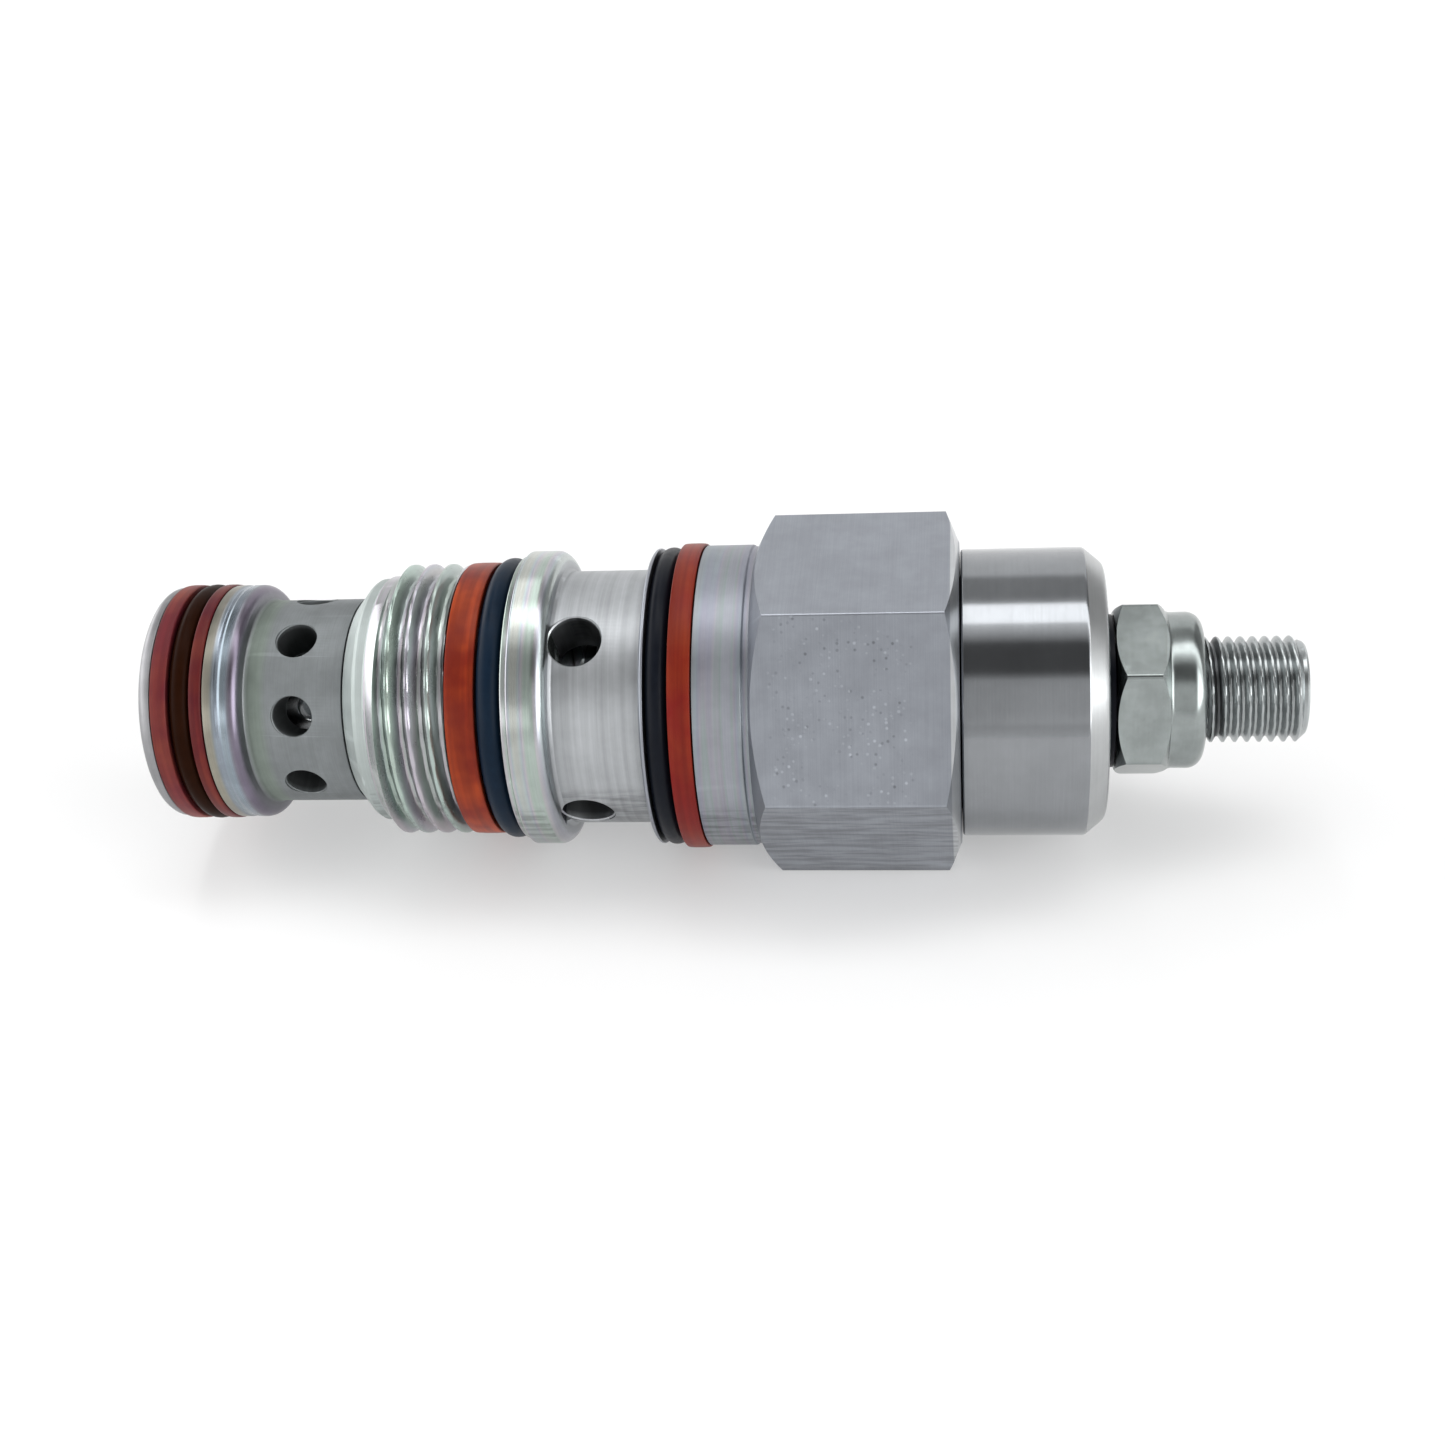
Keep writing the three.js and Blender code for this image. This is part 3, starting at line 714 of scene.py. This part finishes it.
def hex_body():
    """Hexagon, land, cross-drilled waist, flange and male thread, turned and milled from one bar."""
    thread_start, thread_end, major = THREAD["start"], THREAD["end"], THREAD["major"]
    root = major - THREAD["depth"] - 0.05
    seal_floor, upper_floor = SEAL_FLOORS["shoulder"], SEAL_FLOORS["upper"]
    upper_start, upper_end = groove("upper_o_ring", "upper_backup_ring")
    ledge_r, flange_r, rim_r, hex_end_r = 13.2, 13.63, 13.65, 13.6
    outside = [
        (BODY_END, SOCKET_R), (BODY_END, NECK_R - 0.05), (BODY_END + 1.4, 11.15),
        *arc(BODY_END + 1.85, 10.9, 0.45, 140, 95, 3),
        (thread_start - 0.25, 11.35), (thread_start, root),
        (thread_start + 0.03, root), (thread_start + 0.9, major),
        *rows(thread_start + 0.95, thread_end - 0.3, major, THREAD["pitch"] / 22),
        (thread_end, major - 0.35), (thread_end, seal_floor), (SHOULDER, seal_floor),
        (SHOULDER, ledge_r - 0.12), (SHOULDER + 0.12, ledge_r), (FLANGE, ledge_r + 0.02),
        (FLANGE, flange_r - 0.12), (FLANGE + 0.12, flange_r),
        (FLANGE_END - 1.25, flange_r), *arc(FLANGE_END - 1.1, flange_r - 1.1, 1.1, 85, 8, 8),
        (FLANGE_END + 0.02, WAIST_R + 0.3), (FLANGE_END + 0.3, WAIST_R),
        (upper_start - 0.6, WAIST_R), (upper_start - 0.4, WAIST_R + 0.3),
        (upper_start - 0.4, rim_r - 0.25), (upper_start - 0.2, rim_r), (upper_start, rim_r),
        (upper_start, upper_floor), (upper_end, upper_floor), (upper_end, LAND_R),
        (HEX_START - 0.65, LAND_R), (HEX_START - 0.5, LAND_R - 0.16), (HEX_START, LAND_R - 0.16),
        (HEX_START, LAND_R + 0.05), (HEX_START + 1.4, HEX_CORNER),
        (HEX_END - 1.2, HEX_CORNER), (HEX_END, hex_end_r),
    ]
    warp = thread_cut(**{**THREAD, "end": thread_end - 0.01})
    blank = turned("hex_body_blank", eased(outside, 0.1, closed=False) + body_bore(), warp=warp)
    carve(blank, hex_shell(HEX_FLATS, HEX_START - 1.5, HEX_END + 2, 0))
    carve(blank, *drills(DRAIN_HOLES, WAIST_R, depth=8, chamfer=0.12))
    finished(blank, "hex_body", "housing", LOOKS["zinc"])


def ported_sleeve():
    """The floating sleeve: nose, seal groove, neck with cross holes, and shank inside the body."""
    start, end = groove("nose_backup_front", "nose_backup_rear")
    seal_floor = SEAL_FLOORS["nose"]
    nose_r, shank_r, bore_r, mouth_r = 11.0, 8.85, 5.5, 6.3
    outline = [
        (NOSE, mouth_r), (NOSE, nose_r - 1.1), *arc(NOSE + 1.0, nose_r - 1.1, 1.0, 175, 105, 6),
        (start, nose_r - 0.08), (start, seal_floor), (end, seal_floor), (end, nose_r),
        (end + 0.9, nose_r), (end + 1.1, nose_r - 0.1), (end + 1.45, nose_r - 0.1),
        (end + 1.65, nose_r), (NECK_START - 1.4, nose_r),
        *arc(NECK_START - 1.4, nose_r - 0.95, 0.95, 88, 12, 8),
        (NECK_START - 0.35, NECK_R + 0.15), (NECK_START, NECK_R),
        (BODY_END - 0.1, NECK_R), (BODY_END - 0.1, shank_r),
        *slot_rows("sleeve_retaining_ring", shank_r, 8.25), *slot_rows("sleeve_o_ring", shank_r, 7.4),
        (SLEEVE_END - 0.3, shank_r), (SLEEVE_END, shank_r - 0.3), (SLEEVE_END, bore_r),
        *slot_rows("spool_stop_ring", bore_r, 6.1)[::-1], (NOSE + 0.8, bore_r),
    ]
    blank = turned("sleeve_blank", eased(outline, 0.1))
    carve(blank, *drills(CROSS_HOLES, NECK_R, depth=5.5, chamfer=0.08))
    finished(blank, "ported_sleeve", "housing", LOOKS["neck"])


def adjuster_cap():
    """The bright turned cap that holds the adjusting screw."""
    start, step, shoulder = HEX_END + 0.1, HEX_END - 3.2, CAP_END - 7.0
    spigot_r, seal_r, cap_r, face_r = 9.85, 10.5, 13.0, 11.2
    outline = [
        (CAP_START, SPIGOT_BORE), (CAP_START, spigot_r), (step, spigot_r), (step, seal_r),
        *slot_rows("cap_o_ring", seal_r, 9.2),
        (start, seal_r), (start, cap_r - 0.15), (start + 0.15, cap_r),
        (CAP_END - 2.0, cap_r), (CAP_END - 1.75, cap_r - 0.05), (CAP_END - 0.45, face_r + 0.65),
        (CAP_END - 0.1, face_r + 0.3), (CAP_END, face_r),
        (CAP_END, SCREW_BORE + 0.3), (CAP_END - 0.3, SCREW_BORE),
        (shoulder, SCREW_BORE), (shoulder, SPIGOT_BORE),
    ]
    blank = turned("cap_blank", eased(outline, 0.2))
    finished(blank, "adjuster_cap", "housing", LOOKS["cap"])


# ---------------------------------------------------------------- adjustment

def adjust_screw():
    """The adjusting screw: head with its seal inside the cap, thread, and key socket."""
    start, end, head_r = SCREW_START, SCREW_END, SCREW_HEAD_R
    head_end, shank_end, shank_r, tip_r = start + 5.1, start + 9.1, 4.4, 4.05
    key_flats, key_depth, sink_r = 4.0, 5.0, 2.1
    major = SCREW_THREAD["major"]
    outline = [
        (start, 0), (start, head_r - 0.3), (start + 0.3, head_r),
        *slot_rows("screw_o_ring", head_r, 6.2), (head_end, head_r), (head_end, shank_r),
        *slot_rows("screw_stop_ring", shank_r, 3.9), (shank_end, shank_r), (shank_end + 0.4, major),
        *rows(SCREW_THREAD["start"], end - 0.75, major, SCREW_THREAD["pitch"] / 18),
        (end - 0.5, tip_r + 0.5), (end - 0.2, tip_r + 0.2), (end, tip_r), (end, 0),
    ]
    blank = turned("screw_blank", outline, 128, warp=thread_cut(**SCREW_THREAD))
    carve(blank, hex_bar(key_flats, end - key_depth, end + 1, NUT_TURN))
    sink = [(end - 0.5, 0), (end - 0.5, sink_r), (end + 0.5, sink_r + 1), (end + 0.5, 0)]
    carve(blank, turned("sink", sink, 64))
    finished(blank, "adjust_screw", "adjust_screw", LOOKS["screw"])


def locknut():
    """The locknut: a small hexagon with a round collar."""
    start, end, _ = span("locknut")
    corner = NUT_FLATS / math.sqrt(3)
    hex_end, collar_r, rounding = start + 4.6, 7.02, 1.42
    outline = [
        (start, SCREW_BORE + 0.5), (start, corner - 1.15), (start + 0.25, corner - 0.75),
        (start + 0.8, corner), (hex_end - 0.9, corner), (hex_end - 0.15, collar_r + 0.33),
        (hex_end, collar_r + 0.08), (hex_end + 0.35, collar_r - 0.02), (end - 1.55, collar_r),
        *arc(end - 1.45, collar_r - rounding, rounding, 85, 8, 10),
        (end, 5.45), (end - 0.15, SCREW_BORE + 0.25), (end - 0.5, SCREW_BORE),
        (start + 0.5, SCREW_BORE),
    ]
    blank = turned("nut_blank", eased(outline, 0.12))
    carve(blank, hex_shell(NUT_FLATS, start - 1, hex_end - 0.02, NUT_TURN, corner=0.45))
    finished(blank, "locknut", "locknut", LOOKS["nut"])


# ---------------------------------------------------------------- seals

def o_ring(node, squeeze, look="rubber"):
    """A rubber ring whose section fills its CAD box, `squeeze` times as high as it is wide."""
    start, end, outer = span(node)
    low = -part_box(node)[0][1] / MM
    width = (end - start) / 2
    height = width * squeeze
    centre = max(outer, low) - height
    outline = [
        ((start + end) / 2 + width * math.cos(a), centre + height * math.sin(a))
        for a in (2 * math.pi * i / 28 for i in range(28))
    ]
    finished(turned(node, outline), node, BODY_OF[node], LOOKS[look], angle=60)


def backup_ring(node, group, look):
    """A turned plastic ring with eased edges and a slightly crowned outer face."""
    start, end, outer = span(node)
    inner, bow, inset = SEAL_FLOORS[group] + 0.1, 0.04, 0.3 * (end - start)
    outline = [
        (start, inner), (start, outer - bow), (start + inset, outer), (end - inset, outer),
        (end, outer - bow), (end, inner),
    ]
    finished(turned(node, eased(outline, 0.16)), node, "housing", LOOKS[look])


def locknut_washer():
    """The dark sealing ring under the locknut."""
    node = "locknut_washer"
    start, end, outer = span(node)
    outline = [(start, SCREW_BORE), (start, outer), (end, outer), (end, SCREW_BORE)]
    finished(turned(node, eased(outline, 0.08)), node, BODY_OF[node], LOOKS["rubber"])


# ---------------------------------------------------------------- inside

def main_spring():
    """The spool's return spring, a fixed coil on the housing; the real one shortens towards the pilot
    seat as the spool moves.
    """
    start, end, _ = span("main_spring")
    coil = helix("main_spring", start, end, radius=4.3, wire=0.9, turns=5)
    finished(coil, "main_spring", "housing", LOOKS["wire"], 60)
    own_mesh(coil)


def control_spring():
    """The pilot's spring, in two halves, one at the poppet's end and one at the adjusting button's;
    neither is attached to a body.
    """
    start, end, _ = span("control_spring")
    middle = (start + end) / 2
    halves = (
        ("_a", (0, 0.5), ("poppet", "housing"), (start, middle)),
        ("_b", (0.5, 1), ("housing", "spring_button"), (middle, end)),
    )
    for suffix, part, bodies, (low, high) in halves:
        coil = helix("control_spring", start, end, radius=4.6, wire=1.6, turns=8, part=part)
        finished(coil, "control_spring", None, LOOKS["wire"], 60, suffix)
        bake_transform(coil)


def spool():
    """The metering spool, which shows through the cross holes of the neck."""
    start, end, r = span("spool")
    waist_start, waist_end, waist_r, bore_r = start + 8.7, start + 13.3, 4.3, 3.0
    groove_start, groove_r, seat_r, orifice_r = start + 4.4, 5.1, 2.0, 0.7
    outline = [
        (start, bore_r), (start, r), (groove_start, r), (groove_start, groove_r),
        (groove_start + 0.4, groove_r), (groove_start + 0.4, r), (waist_start, r),
        (waist_start, waist_r), (waist_end, waist_r), (waist_end, r), (end, r), (end, seat_r),
        (end - 2.2, seat_r), (end - 2.2, orifice_r), (end - 3.4, orifice_r), (end - 3.4, bore_r),
    ]
    blank = turned("spool_blank", eased(outline, 0.08), 128)
    middle = (waist_start + waist_end) / 2
    ports = {"x": middle, "r": 1.2, "count": 4, "first": CROSS_HOLES["first"]}
    carve(blank, *drills(ports, waist_r, depth=3.0, chamfer=0.1))
    finished(blank, "spool", "spool", LOOKS["ground"])


def inner_pieces():
    """CAD pieces that stay as they are, with their finishes."""
    looks = {"hardened_steel": "ground", "spring_steel": "wire", "orifice_brass": "brass"}
    for node in ("sleeve_retaining_ring", "spool_stop_ring", "pilot_screen", "pilot_seat",
                 "spool_orifice", "pilot_poppet", "poppet_spring_seat", "spring_button",
                 "screw_stop_ring"):
        obj = frame["nodes"][node]
        obj.data.materials.clear()
        obj.data.materials.append(LOOKS[looks[SLOTS[node]]])


# ---------------------------------------------------------------- studio

# Angles in degrees, lengths in millimetres from the valve's origin.
VIEW = {"rise": 36.65, "yaw": 7.27, "roll": 0.565, "distance": 183.39, "above": 2.5275}
LENS = 49.37
SENSOR = 36.0


def camera():
    """A camera that looks down on the valve's front, with the screw end nearer."""
    rise, yaw, roll = (math.radians(VIEW[k]) for k in ("rise", "yaw", "roll"))
    axis = Vector((math.cos(yaw) * math.cos(roll), math.sin(roll), -math.sin(yaw) * math.cos(roll)))
    near = Vector((0, 0, -1)) - axis * -axis.z
    near.normalize()
    over = axis.cross(near)
    over = over if over.y > 0 else -over
    columns = (
        (Vector((1, 0, 0)), axis),
        (Vector((0, -math.cos(rise), math.sin(rise))), near),
        (Vector((0, math.sin(rise), math.cos(rise))), over),
    )
    right, up, ahead = (
        sum((row * seen[i] for row, seen in columns), Vector((0, 0, 0))) for i in range(3)
    )
    data = bpy.data.cameras.new("camera")
    data.lens, data.sensor_width, data.clip_start = LENS, SENSOR, 0.002
    obj = bpy.data.objects.new("camera", data)
    bpy.context.collection.objects.link(obj)
    place = -(up * VIEW["above"] + ahead * VIEW["distance"]) * MM
    turn = Matrix((right, up, -ahead)).transposed().to_4x4()
    obj.matrix_world = Matrix.Translation(place) @ turn
    bpy.context.scene.camera = obj


def floor():
    """A plain pale floor that the valve lies on."""
    gap, half = 0.02, 3000
    low = cad_box[0][2] / MM - gap
    points = [(-half, -half, low), (half, -half, low), (half, half, low), (-half, half, low)]
    obj = add_mesh("floor", points, [(0, 1, 2, 3)])
    material, n = new_material("floor")
    shader = n.add("BsdfPrincipled", {
        "Base Color": (0.6, 0.6, 0.6, 1), "Roughness": 0.9, "Specular IOR Level": 0.1,
        "Emission Color": (1, 1, 1, 1), "Emission Strength": 0.31,
    })
    surface(n, shader)
    obj.data.materials.append(material)


def studio():
    """Soft light that varies with the angle round the valve's axis, plus lamps and dark cards.

    `rise` is 0 degrees at the front, 90 overhead and 180 at the back, and `along` is the x of a
    direction. A panel with a negative level is a dark card.
    """
    world = bpy.data.worlds.new("studio")
    bpy.context.scene.world = world
    world.use_nodes = True
    n = Nodes(world.node_tree)
    way = n.add("SeparateXYZ", {0: n.add("TexCoord").outputs["Generated"]})
    along, front, up = way.outputs[0], n.math("MULTIPLY", way.outputs[1], -1.0), way.outputs[2]
    rise = n.math("MULTIPLY", n.math("ARCTAN2", up, front), 180 / math.pi)
    turn = n.math("DIVIDE", n.math("ADD", rise, 180.0), 360.0)
    levels = [
        (-180, 0.95), (0, 0.93), (12, 0.66), (20, 0.58), (30, 0.58), (38, 0.56), (46, 0.51),
        (51, 0.14), (74, 0.14), (79, 0.60), (89, 1.40), (92, 0.70), (112, 0.62), (116, 0.46),
        (137, 0.50), (143, 1.1), (180, 1.1),
    ]
    top = 4.0
    glow = n.ramp(turn, [((degrees + 180) / 360, level / top) for degrees, level in levels])
    glow = n.math("MULTIPLY", glow, top)
    panels = [
        {"rise": (91, 109), "along": (-0.20, 2.0), "level": 2.6},
        {"rise": (92, 140), "along": (-0.26, -0.13), "level": 2.5},
        {"rise": (12, 28), "along": (-0.60, -0.203), "level": 1.3},
        {"rise": (48, 90), "along": (-0.60, -0.17), "level": 0.40},
        {"rise": (10, 46), "along": (-0.01, 0.45), "level": 0.28},
        {"rise": (-5, 75), "along": (0.66, 2.0), "level": 3.9, "blur": 12, "soft": 0.12},
        {"rise": (-15, 195), "along": (-2.0, -0.66), "level": 2.1, "blur": 12, "soft": 0.12},
        {"rise": (93, 140), "along": (0.45, 2.0), "level": -0.25},
        {"rise": (140, 185), "along": (0.45, 2.0), "level": -0.7},
        {"rise": (100, 185), "along": (-0.60, -0.28), "level": -0.38},
    ]
    for panel in panels:
        height = n.band(rise, *panel["rise"], panel.get("blur", 1.0))
        length = n.band(along, *panel["along"], panel.get("soft", 0.03))
        part = n.math("MULTIPLY", n.math("MULTIPLY", height, length), panel["level"])
        glow = n.math("ADD", glow, part)
    background = n.add("Background", {1: glow})
    output = n.add("OutputWorld")
    n.tree.links.new(background.outputs[0], output.inputs[0])
    background.inputs[0].default_value = (1, 1, 1, 1)
    bpy.context.scene.view_settings.view_transform = "Standard"


# ---------------------------------------------------------------- assembly

camera()
floor()
studio()

hex_body()
ported_sleeve()
adjuster_cap()
adjust_screw()
locknut()
o_ring("nose_o_ring", 0.95, "brown")
o_ring("shoulder_o_ring", 0.95, "navy")
o_ring("upper_o_ring", 0.95)
for inner_ring in ("sleeve_o_ring", "cap_o_ring", "seat_o_ring", "screw_o_ring"):
    o_ring(inner_ring, 0.85)
backup_ring("nose_backup_front", "nose", "dusty")
backup_ring("nose_backup_rear", "nose", "maroon")
backup_ring("shoulder_backup_ring", "shoulder", "orange")
backup_ring("upper_backup_ring", "upper", "red")
locknut_washer()
main_spring()
control_spring()
spool()
inner_pieces()
